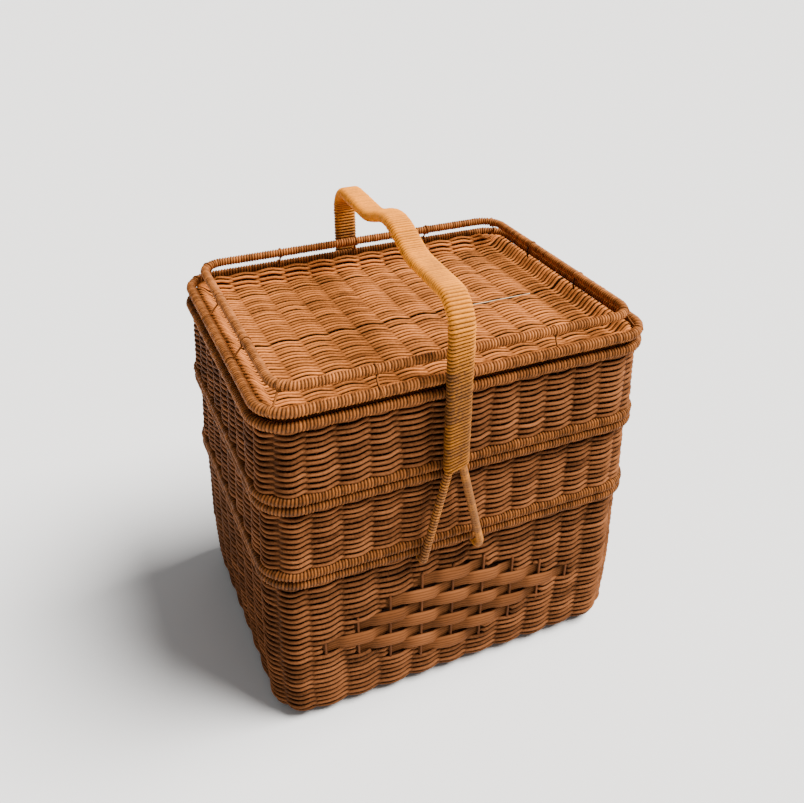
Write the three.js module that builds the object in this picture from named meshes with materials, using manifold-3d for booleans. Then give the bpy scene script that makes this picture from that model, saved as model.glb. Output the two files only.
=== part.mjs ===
// Woven storage basket: a deep bottom basket, two trays that stack on it, a dished lid with a
// gallery rail, and a fixed handle that goes over the short way.
// Millimetres, +Z up, +X along the long front, the front at -Y, origin on the ground in the middle.
import * as THREE from 'three';
import * as BufferGeometryUtils from 'three/addons/utils/BufferGeometryUtils.js';
import Module from 'manifold-3d';

const wasm = await Module();
wasm.setup();

// Clearance that touching pieces keep
const GAP = 0.3;

// Tiers: the plan line is the centre line of the rails in plan
const RIM_HALF_X = 204.5;
const RIM_HALF_Y = 152;
const RIM_CORNER_R = 36;
const TOP_RIM_INSET_X = 4.5;
const BOTTOM_HEIGHT = 200;
const TRAY_HEIGHT = 90;

// Wrapped rails of the tiers and the lid
const RAIL_R = 5;
const RAIL_SIDES = 8;
const CORNER_STEPS = 5;

// Woven walls: the strands swell out where they pass over the stakes
const WALL_T = 8;
const BOTTOM_STAKES = 38;
const TRAY_STAKES = 44;
const TRAY_STAKE_SHIFT = 0.5;
const BAY_STEPS = 3;
const BAY_SWELL = 3;
const BOTTOM_EDGE_R = 20;
const BOTTOM_EDGE_STEPS = 4;
const BOTTOM_FOOT_OUT = 1.5;
const BOTTOM_BELLY_OUT = 2.5;
const BOTTOM_BELLY_Z = 85;
const BOTTOM_TOP_OUT = -2;
const TRAY_FOOT_OUT = -0.5;
const TRAY_TOP_OUT = -3.5;

// Tray floors: a dish inside the foot rail that nests in the rim below
const FLOOR_T = 7;
const FLOOR_PLAY = 0.7;
const FLOOR_NEST = 4.7;
const FLOOR_CHAMFER = 3;
const FLOOR_LIP_W = 5;
const FLOOR_SLOPE_W = 7;

// Lid: a dished panel whose border lies between the lid's rail and the top tray's rim
const LID_INSET_X = 3.5;
const LID_CORNER_R = 30;
const LID_BORDER_H = 5;
const LID_BORDER_OUT = 1;
const LID_NEST = 8;
const LID_PANEL_T = 4.2;
const LID_STAKE_PITCH = 30.2;
const LID_STAKE_SHIFT = -3;
const LID_SWELL = 3;
const LID_EDGE_RISE = 6;
const LID_EDGE_W = 3.4;
const LID_SLOPE_W = 13;

// Gallery rail on its posts
const GALLERY_R = 4.5;
const GALLERY_INSET_X = 16;
const GALLERY_INSET_Y = 10;
const GALLERY_CORNER_R = 24;
const GALLERY_RISE = 18;
const POST_R = 1.1;
const POST_SIDES = 6;
const POST_LOOP_PLAY = 0.8;
const POST_LOOP_STEPS = 8;
const POST_LOOP_SIDES = 4;
const POSTS_PER_LONG_SIDE = 3;
const POSTS_PER_SHORT_SIDE = 2;

// Handle: two rods and a core cane side by side inside a wrap, the rods splayed at their feet.
// It stands a little askew: its front leg is further to the left than its back leg.
const HANDLE_X = -12;
const HANDLE_ASKEW = 15;
const HANDLE_ABOVE_GALLERY = 49;
const HANDLE_HUMP = 16.5;
const HANDLE_HUMP_HALF = 71;
const HANDLE_HUMP_STEPS = 10;
const HANDLE_SHOULDER_R = 29;
const HANDLE_SHOULDER_STEPS = 6;
const HANDLE_RAIL_GAP = 0.8;
const ROD_R = 4.1;
const ROD_SIDES = 8;
const ROD_SPACING = 7.3;
const ROD_SPLAY = 31;
const ROD_END_DEPTH = 25;
const ROD_BEND_R = 10;
const ROD_BEND_STEPS = 4;
const CORE_R = 2.9;
const WRAP_T = 1.5;
const WRAP_SIDES = 12;
const WRAP_END_ABOVE_JOINT = 6;
const CORE_END_INSET = 4;

// Band of flat strips on the front: a plain weave of wide strips over thin stakes
const BAND_MID_Z = 100;
const BAND_ROW_H = 16.8;
const BAND_HALF_ROWS = 3;
const BAND_HALF_STAKES = 4;
const BAND_END_SHARE = 0.45;
const BAND_STRIP_H = 14.6;
const BAND_STRIP_T = 1.2;
const BAND_STAKE_R = 1.2;
const BAND_STEPS_PER_BAY = 4;
const BAND_OUT = 2.2;

// Finishes
const basketColour = 0xa9682f;
const rimColour = 0xb4713a;
const handleColour = 0xd69a58;
const bandColour = 0x9c6330;

function finish(color, roughness) {
  return new THREE.MeshStandardMaterial({ color, roughness, metalness: 0 });
}

const wovenFinish = finish(basketColour, 0.55);
const rimFinish = finish(rimColour, 0.5);
const handleFinish = finish(handleColour, 0.5);
const bandFinish = finish(bandColour, 0.6);

const basket = new THREE.Group();

function addPiece(name, geometry, material) {
  const mesh = new THREE.Mesh(geometry, material);
  mesh.name = name;
  basket.add(mesh);
  return mesh;
}

// Volume with its sign, which is negative where the faces point in
function signedVolume(geometry) {
  const p = geometry.getAttribute('position');
  const index = geometry.getIndex();
  const a = new THREE.Vector3();
  const b = new THREE.Vector3();
  const c = new THREE.Vector3();
  let volume = 0;
  for (let i = 0; i < index.count; i += 3) {
    a.fromBufferAttribute(p, index.getX(i));
    b.fromBufferAttribute(p, index.getX(i + 1));
    c.fromBufferAttribute(p, index.getX(i + 2));
    volume += a.dot(b.cross(c)) / 6;
  }
  return volume;
}

// A closed body through rows of points: each row is a ring with the same number of points.
// The last row joins the first, or else flat caps close both ends.
function loft(rows, joinEnds) {
  const count = rows[0].length;
  const index = [];
  const bands = joinEnds ? rows.length : rows.length - 1;
  for (let row = 0; row < bands; row++) {
    const here = row * count;
    const next = ((row + 1) % rows.length) * count;
    for (let j = 0; j < count; j++) {
      const k = (j + 1) % count;
      index.push(here + j, here + k, next + k);
      index.push(here + j, next + k, next + j);
    }
  }
  if (!joinEnds) {
    const last = (rows.length - 1) * count;
    for (let j = 1; j < count - 1; j++) {
      index.push(0, j + 1, j);
      index.push(last, last + j, last + j + 1);
    }
  }
  const geometry = new THREE.BufferGeometry();
  const points = rows.flat().flatMap((point) => point.toArray());
  geometry.setAttribute('position', new THREE.Float32BufferAttribute(points, 3));
  geometry.setIndex(index);
  if (signedVolume(geometry) < 0) {
    index.reverse();
    geometry.setIndex(index);
  }
  geometry.computeVertexNormals();
  return geometry;
}

function toManifold(geometry) {
  const bare = geometry.clone();
  bare.deleteAttribute('normal');
  bare.deleteAttribute('uv');
  const merged = BufferGeometryUtils.mergeVertices(bare);
  return new wasm.Manifold(new wasm.Mesh({
    numProp: 3,
    vertProperties: new Float32Array(merged.getAttribute('position').array),
    triVerts: new Uint32Array(merged.getIndex().array),
  }));
}

function fromManifold(solid) {
  const mesh = solid.getMesh();
  const geometry = new THREE.BufferGeometry();
  geometry.setAttribute('position', new THREE.BufferAttribute(mesh.vertProperties, 3));
  geometry.setIndex(new THREE.BufferAttribute(mesh.triVerts, 1));
  geometry.computeVertexNormals();
  return geometry;
}

// Plans: rounded rectangles, walked once round from the middle of the front towards +X
function makePlan(halfX, halfY, cornerR) {
  const runX = halfX - cornerR;
  const runY = halfY - cornerR;
  const arc = (Math.PI / 2) * cornerR;
  return { halfX, halfY, cornerR, runX, runY, arc, length: 4 * (runX + arc + runY) };
}

// The point at a share of the way round, with the direction that points out of the plan there
function planPoint(plan, share) {
  const quarter = plan.length / 4;
  const walked = THREE.MathUtils.euclideanModulo(share, 1) * plan.length;
  const turn = Math.min(3, Math.floor(walked / quarter));
  const into = walked - turn * quarter;
  const t = turn % 2 === 0 ? into : quarter - into;
  const side = turn === 0 || turn === 1 ? 1 : -1;
  const face = turn === 0 || turn === 3 ? 1 : -1;
  let x = t;
  let y = -plan.halfY;
  let angle = 0;
  if (t > plan.runX + plan.arc) {
    x = plan.halfX;
    y = -plan.runY + (t - plan.runX - plan.arc);
    angle = Math.PI / 2;
  } else if (t > plan.runX) {
    angle = (t - plan.runX) / plan.cornerR;
    x = plan.runX + plan.cornerR * Math.sin(angle);
    y = -plan.runY - plan.cornerR * Math.cos(angle);
  }
  return { x: side * x, y: face * y, outX: side * Math.sin(angle), outY: -face * Math.cos(angle) };
}

// Shares of the way round at the steps of the four corner arcs, for pieces with straight sides
function cornerShares(plan) {
  const shares = [];
  const half = plan.length / 2;
  const firstStart = plan.runX;
  const secondStart = plan.runX + plan.arc + 2 * plan.runY;
  for (const start of [firstStart, secondStart, half + firstStart, half + secondStart]) {
    for (let step = 0; step <= CORNER_STEPS; step++) {
      shares.push((start + (plan.arc * step) / CORNER_STEPS) / plan.length);
    }
  }
  return shares;
}

function ring(plan, shares, out, z) {
  return shares.map((share) => {
    const p = planPoint(plan, share);
    const distance = typeof out === 'function' ? out(share) : out;
    return new THREE.Vector3(p.x + p.outX * distance, p.y + p.outY * distance, z);
  });
}

// The plan line of the tiers at a height: the upper tray's rim is a little shorter in X
function tierPlan(z) {
  const rise = THREE.MathUtils.clamp((z - BOTTOM_HEIGHT) / (2 * TRAY_HEIGHT), 0, 1);
  return makePlan(RIM_HALF_X - TOP_RIM_INSET_X * rise, RIM_HALF_Y, RIM_CORNER_R);
}

// Rails: an eight-sided section with flats at the top, the bottom and both sides
function railGeometry(plan, z, radius) {
  const shares = cornerShares(plan);
  const cornerRadius = radius / Math.cos(Math.PI / RAIL_SIDES);
  const rows = [];
  for (let side = 0; side < RAIL_SIDES; side++) {
    const angle = ((side + 0.5) / RAIL_SIDES) * 2 * Math.PI;
    const out = cornerRadius * Math.cos(angle);
    rows.push(ring(plan, shares, out, z + cornerRadius * Math.sin(angle)));
  }
  return loft(rows, true);
}

// A woven wall from its section: each point is [distance out, height, share of the swell].
// The stakes stand evenly round it, the first one in line with the handle or shifted by a share of a bay.
function wallGeometry(section, planAt, stakeCount, stakeShift) {
  const rows = section.map(([out, z, swell]) => {
    const plan = planAt(z);
    const first = HANDLE_X / plan.length + stakeShift / stakeCount;
    const shares = [];
    for (let step = 0; step < stakeCount * BAY_STEPS; step++) {
      shares.push(first + (0.5 + step / BAY_STEPS) / stakeCount);
    }
    const outAt = (share) => {
      const bay = (share - first) * stakeCount;
      return out + swell * BAY_SWELL * Math.abs(Math.cos(Math.PI * bay));
    };
    return ring(plan, shares, outAt, z);
  });
  return loft(rows, true);
}

const bottomPlan = tierPlan(BOTTOM_HEIGHT);
const bayWidth = bottomPlan.length / BOTTOM_STAKES;
const bottomRimZ = BOTTOM_HEIGHT - RAIL_R;

// Section of the bottom wall: a rounded lower edge, a slight belly and a top under the rim
function bottomSection() {
  const edgeMid = BOTTOM_FOOT_OUT - BOTTOM_EDGE_R;
  const topZ = bottomRimZ - RAIL_R - GAP;
  const outer = [];
  const inner = [];
  for (let step = 0; step <= BOTTOM_EDGE_STEPS; step++) {
    const angle = ((step / BOTTOM_EDGE_STEPS) * Math.PI) / 2;
    const out = edgeMid + BOTTOM_EDGE_R * Math.sin(angle);
    outer.push([out, BOTTOM_EDGE_R * (1 - Math.cos(angle)), Math.sin(angle)]);
  }
  outer.push([BOTTOM_BELLY_OUT, BOTTOM_BELLY_Z, 1]);
  outer.push([BOTTOM_TOP_OUT, topZ, 1]);
  inner.push([BOTTOM_TOP_OUT - WALL_T, topZ, 0]);
  inner.push([BOTTOM_BELLY_OUT - WALL_T, BOTTOM_BELLY_Z, 0]);
  const innerR = BOTTOM_EDGE_R - WALL_T;
  const innerSteps = BOTTOM_EDGE_STEPS / 2;
  for (let step = innerSteps; step >= 0; step--) {
    const angle = ((step / innerSteps) * Math.PI) / 2;
    inner.push([edgeMid + innerR * Math.sin(angle), BOTTOM_EDGE_R - innerR * Math.cos(angle), 0]);
  }
  return [...outer, ...inner];
}

const trayTopZ = BOTTOM_HEIGHT + 2 * TRAY_HEIGHT;
const topRimPlan = tierPlan(trayTopZ);
const lidPlan = makePlan(topRimPlan.halfX - LID_INSET_X, topRimPlan.halfY, LID_CORNER_R);
const lidRimZ = trayTopZ + LID_BORDER_H + RAIL_R;
const galleryPlan = makePlan(
  lidPlan.halfX - GALLERY_INSET_X,
  lidPlan.halfY - GALLERY_INSET_Y,
  GALLERY_CORNER_R,
);
const galleryZ = lidRimZ + GALLERY_RISE;

// Handle: the wrapped legs stand just outside the rails of the tiers
const wrapHalfT = ROD_R + GAP + WRAP_T;
const wrapHalfW = ROD_SPACING + wrapHalfT;
const legY = RIM_HALF_Y + RAIL_R + HANDLE_RAIL_GAP + wrapHalfT;
const archZ = galleryZ + GALLERY_R + HANDLE_ABOVE_GALLERY + wrapHalfT;
const wrapEndZ = BOTTOM_HEIGHT + TRAY_HEIGHT + WRAP_END_ABOVE_JOINT;
const hookZ = bottomRimZ - RAIL_R - GAP - ROD_R;
const handleSkew = HANDLE_ASKEW / (2 * legY);
const handlePlace = new THREE.Matrix4().makeShear(0, 0, handleSkew, 0, 0, 0).setPosition(HANDLE_X, 0, 0);

// Half of the handle's centre line, from the shoulder at the front to the crest of the hump
function archHalf() {
  const points = [];
  const shoulderY = -legY + HANDLE_SHOULDER_R;
  const shoulderZ = archZ - HANDLE_SHOULDER_R;
  for (let step = 0; step <= HANDLE_SHOULDER_STEPS; step++) {
    const angle = ((step / HANDLE_SHOULDER_STEPS) * Math.PI) / 2;
    const y = shoulderY - HANDLE_SHOULDER_R * Math.cos(angle);
    points.push(new THREE.Vector3(0, y, shoulderZ + HANDLE_SHOULDER_R * Math.sin(angle)));
  }
  const halfSteps = HANDLE_HUMP_STEPS / 2;
  for (let step = 0; step <= halfSteps; step++) {
    const y = -HANDLE_HUMP_HALF * (1 - step / halfSteps);
    const lift = (1 + Math.cos((Math.PI * y) / HANDLE_HUMP_HALF)) / 2;
    points.push(new THREE.Vector3(0, y, archZ + HANDLE_HUMP * lift));
  }
  return points;
}

// The same points at the back, in the order that goes on from the crest
function mirrored(points) {
  return points.map((p) => new THREE.Vector3(p.x, -p.y, p.z)).reverse();
}

function archFrom(endZ) {
  const half = [new THREE.Vector3(0, -legY, endZ), ...archHalf()];
  return [...half, ...mirrored(half.slice(0, -1))];
}

// One rod: in through the wall, down and round under the rim, up the splayed foot, over the arch
function rodPoints(side) {
  const half = [];
  const footX = side * ROD_SPLAY;
  const bendY = -legY + ROD_BEND_R;
  half.push(new THREE.Vector3(footX, -legY + ROD_END_DEPTH, hookZ));
  for (let step = 0; step <= ROD_BEND_STEPS; step++) {
    const angle = ((step / ROD_BEND_STEPS) * Math.PI) / 2;
    const y = bendY - ROD_BEND_R * Math.sin(angle);
    half.push(new THREE.Vector3(footX, y, hookZ + ROD_BEND_R * (1 - Math.cos(angle))));
  }
  half.push(new THREE.Vector3(side * ROD_SPACING, -legY, wrapEndZ - 2 * GAP));
  const arch = archHalf().map((p) => new THREE.Vector3(side * ROD_SPACING, p.y, p.z));
  half.push(...arch);
  return [...half, ...mirrored(half.slice(0, -1))];
}

// A section carried along points, with its second axis kept across the handle
function sweepRows(points, section) {
  const across = new THREE.Vector3(1, 0, 0);
  return points.map((point, i) => {
    const before = points[Math.max(0, i - 1)];
    const after = points[Math.min(points.length - 1, i + 1)];
    const toHere = point.clone().sub(before).normalize();
    const fromHere = after.clone().sub(point).normalize();
    const tangent = toHere.clone().add(fromHere).normalize();
    const wide = across.clone().addScaledVector(tangent, -across.dot(tangent)).normalize();
    const thick = wide.clone().cross(tangent).normalize();
    return section.map(([w, t]) => {
      const moved = point.clone().addScaledVector(wide, w).addScaledVector(thick, t);
      return moved.applyMatrix4(handlePlace);
    });
  });
}

function circleSection(radius, sides) {
  const section = [];
  for (let side = 0; side < sides; side++) {
    const angle = ((side + 0.5) / sides) * 2 * Math.PI;
    section.push([radius * Math.cos(angle), radius * Math.sin(angle)]);
  }
  return section;
}

// An oblong with round ends, as wide as the rods side by side
function oblongSection(halfT) {
  const section = [];
  const half = WRAP_SIDES / 2;
  for (const end of [1, -1]) {
    for (let step = 0; step < half; step++) {
      const angle = (step / (half - 1) - 0.5) * Math.PI;
      section.push([end * (ROD_SPACING + halfT * Math.cos(angle)), end * halfT * Math.sin(angle)]);
    }
  }
  return section;
}

// Stretch of the wall that holds the flat strips: half its width in each row
function bandHalfWidth(row) {
  return (BAND_HALF_STAKES - Math.abs(row) + BAND_END_SHARE) * bayWidth;
}

const stripSwing = BAND_STAKE_R + GAP + BAND_STRIP_T / 2;
const bandY = -(RIM_HALF_Y + BAND_OUT);
const recessY = bandY + stripSwing + BAND_STRIP_T / 2 + GAP;

function bandRecess() {
  let recess = null;
  const frontY = -(legY + wrapHalfT);
  for (let row = -BAND_HALF_ROWS; row <= BAND_HALF_ROWS; row++) {
    const box = new THREE.BoxGeometry(2 * bandHalfWidth(row), recessY - frontY, BAND_ROW_H + 0.01);
    box.translate(HANDLE_X, (recessY + frontY) / 2, BAND_MID_Z + row * BAND_ROW_H);
    const solid = toManifold(box);
    recess = recess ? recess.add(solid) : solid;
  }
  return recess;
}

// Round holes under the rim, where the rods' ends go in through the wall
function hookHoles() {
  const holeR = (ROD_R + GAP) / Math.cos(Math.PI / WRAP_SIDES);
  let holes = null;
  for (const footX of [-ROD_SPLAY, ROD_SPLAY]) {
    const bore = new THREE.CylinderGeometry(holeR, holeR, 4 * legY, WRAP_SIDES);
    bore.translate(footX, 0, hookZ);
    bore.applyMatrix4(handlePlace);
    holes = holes ? holes.add(toManifold(bore)) : toManifold(bore);
  }
  return holes;
}

function buildBottomBasket() {
  const wall = toManifold(wallGeometry(bottomSection(), () => bottomPlan, BOTTOM_STAKES, 0));
  const cutWall = wall.subtract(hookHoles()).subtract(bandRecess());
  addPiece('bottom_wall', fromManifold(cutWall), wovenFinish);
  const floorOut = BOTTOM_FOOT_OUT - BOTTOM_EDGE_R - GAP;
  const shares = cornerShares(bottomPlan);
  const floor = [ring(bottomPlan, shares, floorOut, 0), ring(bottomPlan, shares, floorOut, WALL_T)];
  addPiece('bottom_floor', loft(floor, false), wovenFinish);
  addPiece('bottom_rim', railGeometry(bottomPlan, bottomRimZ, RAIL_R), rimFinish);
}

// The flat strips swing in front of one stake and behind the next, by turns from row to row
function buildBand() {
  for (let row = -BAND_HALF_ROWS; row <= BAND_HALF_ROWS; row++) {
    const halfWidth = bandHalfWidth(row) - GAP;
    const steps = 2 * Math.round((halfWidth / bayWidth) * BAND_STEPS_PER_BAY);
    const parity = row % 2 === 0 ? 1 : -1;
    const front = [];
    const back = [];
    for (let step = 0; step <= steps; step++) {
      const x = halfWidth * ((2 * step) / steps - 1);
      const y = parity * stripSwing * Math.cos((Math.PI * x) / bayWidth);
      front.push(new THREE.Vector2(x, y - BAND_STRIP_T / 2));
      back.push(new THREE.Vector2(x, y + BAND_STRIP_T / 2));
    }
    const outline = new THREE.Shape([...front, ...back.reverse()]);
    const strip = new THREE.ExtrudeGeometry(outline, { depth: BAND_STRIP_H, bevelEnabled: false });
    const mesh = addPiece(`band_strip_${row + BAND_HALF_ROWS + 1}`, strip, bandFinish);
    const lowZ = BAND_MID_Z + row * BAND_ROW_H - BAND_STRIP_H / 2;
    mesh.position.set(HANDLE_X, bandY, lowZ);
  }
  for (let number = -BAND_HALF_STAKES; number <= BAND_HALF_STAKES; number++) {
    const rows = Math.min(BAND_HALF_STAKES - Math.abs(number), BAND_HALF_ROWS);
    const height = (2 * rows + 1) * BAND_ROW_H - 2 * GAP;
    const stake = new THREE.CylinderGeometry(BAND_STAKE_R, BAND_STAKE_R, height, ROD_SIDES);
    const mesh = addPiece(`band_stake_${number + BAND_HALF_STAKES + 1}`, stake, bandFinish);
    mesh.rotation.x = Math.PI / 2;
    mesh.position.set(HANDLE_X + number * bayWidth, bandY, BAND_MID_Z);
  }
}

// A tray that stands on a rim whose top is at baseZ
function buildTray(name, baseZ) {
  const footPlan = tierPlan(baseZ);
  const footZ = baseZ + GAP + RAIL_R;
  const footTopZ = footZ + RAIL_R;
  const rimZ = baseZ + TRAY_HEIGHT - RAIL_R;
  const rimPlan = tierPlan(baseZ + TRAY_HEIGHT);
  addPiece(`${name}_foot_rail`, railGeometry(footPlan, footZ, RAIL_R), rimFinish);
  addPiece(`${name}_rim`, railGeometry(rimPlan, rimZ, RAIL_R), rimFinish);
  const lowZ = footTopZ + GAP;
  const highZ = rimZ - RAIL_R - GAP;
  const section = [
    [TRAY_FOOT_OUT, lowZ, 1],
    [TRAY_TOP_OUT, highZ, 1],
    [TRAY_TOP_OUT - WALL_T, highZ, 0],
    [TRAY_FOOT_OUT - WALL_T, lowZ, 0],
  ];
  const wall = wallGeometry(section, tierPlan, TRAY_STAKES, TRAY_STAKE_SHIFT);
  addPiece(`${name}_wall`, wall, wovenFinish);
  const floorOut = -(RAIL_R + FLOOR_PLAY);
  const underZ = baseZ - FLOOR_NEST;
  const shares = cornerShares(footPlan);
  const lipIn = floorOut - FLOOR_LIP_W;
  const floor = [
    ring(footPlan, shares, floorOut - FLOOR_CHAMFER, underZ),
    ring(footPlan, shares, floorOut, underZ + FLOOR_CHAMFER),
    ring(footPlan, shares, floorOut, footTopZ),
    ring(footPlan, shares, lipIn, footTopZ),
    ring(footPlan, shares, lipIn - FLOOR_SLOPE_W, underZ + FLOOR_T),
  ];
  addPiece(`${name}_floor`, loft(floor, false), wovenFinish);
}

// The border of the panel lies under the lid's rail, and its sides slope down into the dish
function buildLid() {
  const borderTopZ = lidRimZ - RAIL_R - GAP;
  const borderLowZ = trayTopZ + GAP;
  const underZ = trayTopZ - LID_NEST;
  const edgeOut = -(RAIL_R + 2 * GAP);
  const edgeZ = borderTopZ + LID_EDGE_RISE;
  const slopeOut = edgeOut - LID_EDGE_W;
  const dishOut = slopeOut - LID_SLOPE_W;
  const shares = cornerShares(lidPlan);
  const panel = [
    ring(lidPlan, shares, dishOut, underZ),
    ring(lidPlan, shares, slopeOut, borderLowZ),
    ring(lidPlan, shares, LID_BORDER_OUT, borderLowZ),
    ring(lidPlan, shares, LID_BORDER_OUT, borderTopZ),
    ring(lidPlan, shares, edgeOut, borderTopZ),
    ring(lidPlan, shares, edgeOut, edgeZ),
    ring(lidPlan, shares, slopeOut, edgeZ),
    ring(lidPlan, shares, dishOut, underZ + LID_PANEL_T),
  ];
  const dish = toManifold(loft(panel, false)).add(lidSwells(dishOut + LID_SWELL, underZ));
  addPiece('lid_panel', fromManifold(dish), wovenFinish);
  addPiece('lid_rim', railGeometry(lidPlan, lidRimZ, RAIL_R), rimFinish);
}

// The strands of the dish swell over its stakes too, which run from front to back
function lidSwells(out, underZ) {
  const halfX = lidPlan.halfX + out;
  const halfY = lidPlan.halfY + out;
  const bays = Math.ceil((2 * halfX) / LID_STAKE_PITCH) + 1;
  const first = LID_STAKE_SHIFT - Math.ceil(bays / 2) * LID_STAKE_PITCH;
  const crests = new THREE.Shape();
  crests.moveTo(first, underZ + LID_PANEL_T / 2);
  for (let step = 0; step <= bays * BAY_STEPS; step++) {
    const bay = step / BAY_STEPS;
    const swell = LID_SWELL * Math.abs(Math.sin(Math.PI * bay));
    crests.lineTo(first + bay * LID_STAKE_PITCH, underZ + LID_PANEL_T + swell);
  }
  crests.lineTo(first + bays * LID_STAKE_PITCH, underZ + LID_PANEL_T / 2);
  const swells = new THREE.ExtrudeGeometry(crests, { depth: 2 * halfY, bevelEnabled: false });
  swells.rotateX(Math.PI / 2);
  swells.translate(0, halfY, 0);
  const shares = cornerShares(lidPlan);
  const inside = [ring(lidPlan, shares, out, underZ), ring(lidPlan, shares, out, lidRimZ)];
  return toManifold(swells).intersect(toManifold(loft(inside, false)));
}

// A post with its loop round the gallery rail, leaning out to the inner side of the lid's rim
function postGeometry(top, foot, along) {
  const lean = foot.clone().sub(top).normalize();
  const loopR = GALLERY_R / Math.cos(Math.PI / RAIL_SIDES) + POST_LOOP_PLAY + POST_R;
  const loop = new THREE.TorusGeometry(loopR, POST_R, POST_LOOP_SIDES, POST_LOOP_STEPS);
  const loopTurn = new THREE.Matrix4().lookAt(along, new THREE.Vector3(), lean);
  loop.applyMatrix4(loopTurn);
  loop.translate(top.x, top.y, top.z);
  const rimReach = RAIL_R / Math.cos(Math.PI / RAIL_SIDES) + GAP;
  const length = top.distanceTo(foot) - loopR - rimReach;
  const stem = new THREE.CylinderGeometry(POST_R, POST_R, length, POST_SIDES);
  const up = new THREE.Vector3(0, 1, 0);
  stem.applyQuaternion(new THREE.Quaternion().setFromUnitVectors(up, lean));
  const middle = top.clone().addScaledVector(lean, loopR + length / 2);
  stem.translate(middle.x, middle.y, middle.z);
  return fromManifold(toManifold(loop).add(toManifold(stem)));
}

function buildGallery() {
  addPiece('gallery_rail', railGeometry(galleryPlan, galleryZ, GALLERY_R), rimFinish);
  const places = [];
  for (const face of [-1, 1]) {
    for (let n = 1; n <= POSTS_PER_LONG_SIDE; n++) {
      const x = galleryPlan.halfX * ((2 * n) / (POSTS_PER_LONG_SIDE + 1) - 1);
      const top = new THREE.Vector3(x, face * galleryPlan.halfY, galleryZ);
      const foot = new THREE.Vector3(x, face * lidPlan.halfY, lidRimZ);
      places.push({ top, foot, along: new THREE.Vector3(1, 0, 0) });
    }
    for (let n = 1; n <= POSTS_PER_SHORT_SIDE; n++) {
      const y = galleryPlan.halfY * ((2 * n) / (POSTS_PER_SHORT_SIDE + 1) - 1);
      const top = new THREE.Vector3(face * galleryPlan.halfX, y, galleryZ);
      const foot = new THREE.Vector3(face * lidPlan.halfX, y, lidRimZ);
      places.push({ top, foot, along: new THREE.Vector3(0, 1, 0) });
    }
    for (const side of [-1, 1]) {
      const diagonal = new THREE.Vector3(side, face, 0).normalize();
      const top = new THREE.Vector3(side * galleryPlan.runX, face * galleryPlan.runY, galleryZ);
      top.addScaledVector(diagonal, galleryPlan.cornerR);
      const foot = new THREE.Vector3(side * lidPlan.runX, face * lidPlan.runY, lidRimZ);
      foot.addScaledVector(diagonal, lidPlan.cornerR);
      places.push({ top, foot, along: new THREE.Vector3(-face, side, 0).normalize() });
    }
  }
  places.forEach(({ top, foot, along }, n) => {
    const number = String(n + 1).padStart(2, '0');
    addPiece(`gallery_post_${number}`, postGeometry(top, foot, along), rimFinish);
  });
}

function buildHandle() {
  const rodSection = circleSection(ROD_R, ROD_SIDES);
  for (const [name, side] of [['handle_rod_left', -1], ['handle_rod_right', 1]]) {
    addPiece(name, loft(sweepRows(rodPoints(side), rodSection), false), handleFinish);
  }
  const coreEndZ = wrapEndZ + CORE_END_INSET;
  const core = sweepRows(archFrom(coreEndZ), circleSection(CORE_R, ROD_SIDES));
  addPiece('handle_core', loft(core, false), handleFinish);
  const arch = archFrom(wrapEndZ);
  const outer = sweepRows(arch, oblongSection(wrapHalfT));
  const inner = sweepRows(arch, oblongSection(ROD_R + GAP));
  addPiece('handle_wrap', loft([...outer, ...inner.reverse()], true), handleFinish);
}

buildBottomBasket();
buildBand();
buildTray('middle', BOTTOM_HEIGHT);
buildTray('upper', BOTTOM_HEIGHT + TRAY_HEIGHT);
buildLid();
buildGallery();
buildHandle();

export default basket;
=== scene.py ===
"""Woven storage basket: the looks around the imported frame.

A deep basket and two trays of twined cane, a dished lid with a gallery rail, and a wound handle.
Shapes are worked out in millimetres, in the frame's axes, and written to the meshes in metres.
"""
from collections.abc import Callable
from dataclasses import dataclass
from math import ceil, cos, pi, radians, sin, sqrt, tau

import bpy
import numpy as np
from mathutils import Matrix, Vector


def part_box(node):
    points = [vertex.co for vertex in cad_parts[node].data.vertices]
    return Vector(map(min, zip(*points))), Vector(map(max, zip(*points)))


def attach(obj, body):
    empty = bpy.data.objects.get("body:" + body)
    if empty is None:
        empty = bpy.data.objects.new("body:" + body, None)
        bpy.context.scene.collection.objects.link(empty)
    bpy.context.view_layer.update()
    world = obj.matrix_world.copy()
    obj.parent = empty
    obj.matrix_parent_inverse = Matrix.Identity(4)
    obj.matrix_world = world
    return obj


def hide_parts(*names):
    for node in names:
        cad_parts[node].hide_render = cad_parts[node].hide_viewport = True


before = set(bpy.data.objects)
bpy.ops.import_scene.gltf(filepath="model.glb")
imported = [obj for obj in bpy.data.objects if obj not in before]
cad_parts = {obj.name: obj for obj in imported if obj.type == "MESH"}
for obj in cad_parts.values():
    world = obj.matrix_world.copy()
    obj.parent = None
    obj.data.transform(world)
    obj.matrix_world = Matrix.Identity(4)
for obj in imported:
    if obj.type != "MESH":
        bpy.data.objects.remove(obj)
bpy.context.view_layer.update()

MM = 0.001
SEED = 11
rng = np.random.default_rng(SEED)

# Body and slot that most pieces share
BASKET = "bottom_basket"

# Camera, from a pinhole fit to the photograph's rims and edges: place, and yaw, pitch and roll in degrees
CAMERA_AT = (-322.2, -723.8, 771.7)
CAMERA_TURN = (23.786, 32.366, 0.152)
CAMERA_LENS = 37.54

# Stage, in metres, and light: a wide soft key from above and the right, and a plain white sky
STAGE_SIZE = 60
STAGE_COLOR = (0.82, 0.82, 0.82, 1)
STAGE_ROUGH = 0.9
KEY_FROM = (0.62, -0.26, 1.0)
KEY_ANGLE = 36
KEY_POWER = 11
KEY_COLOR = (1.0, 0.975, 0.94)
SKY_POWER = 0.3

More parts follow.
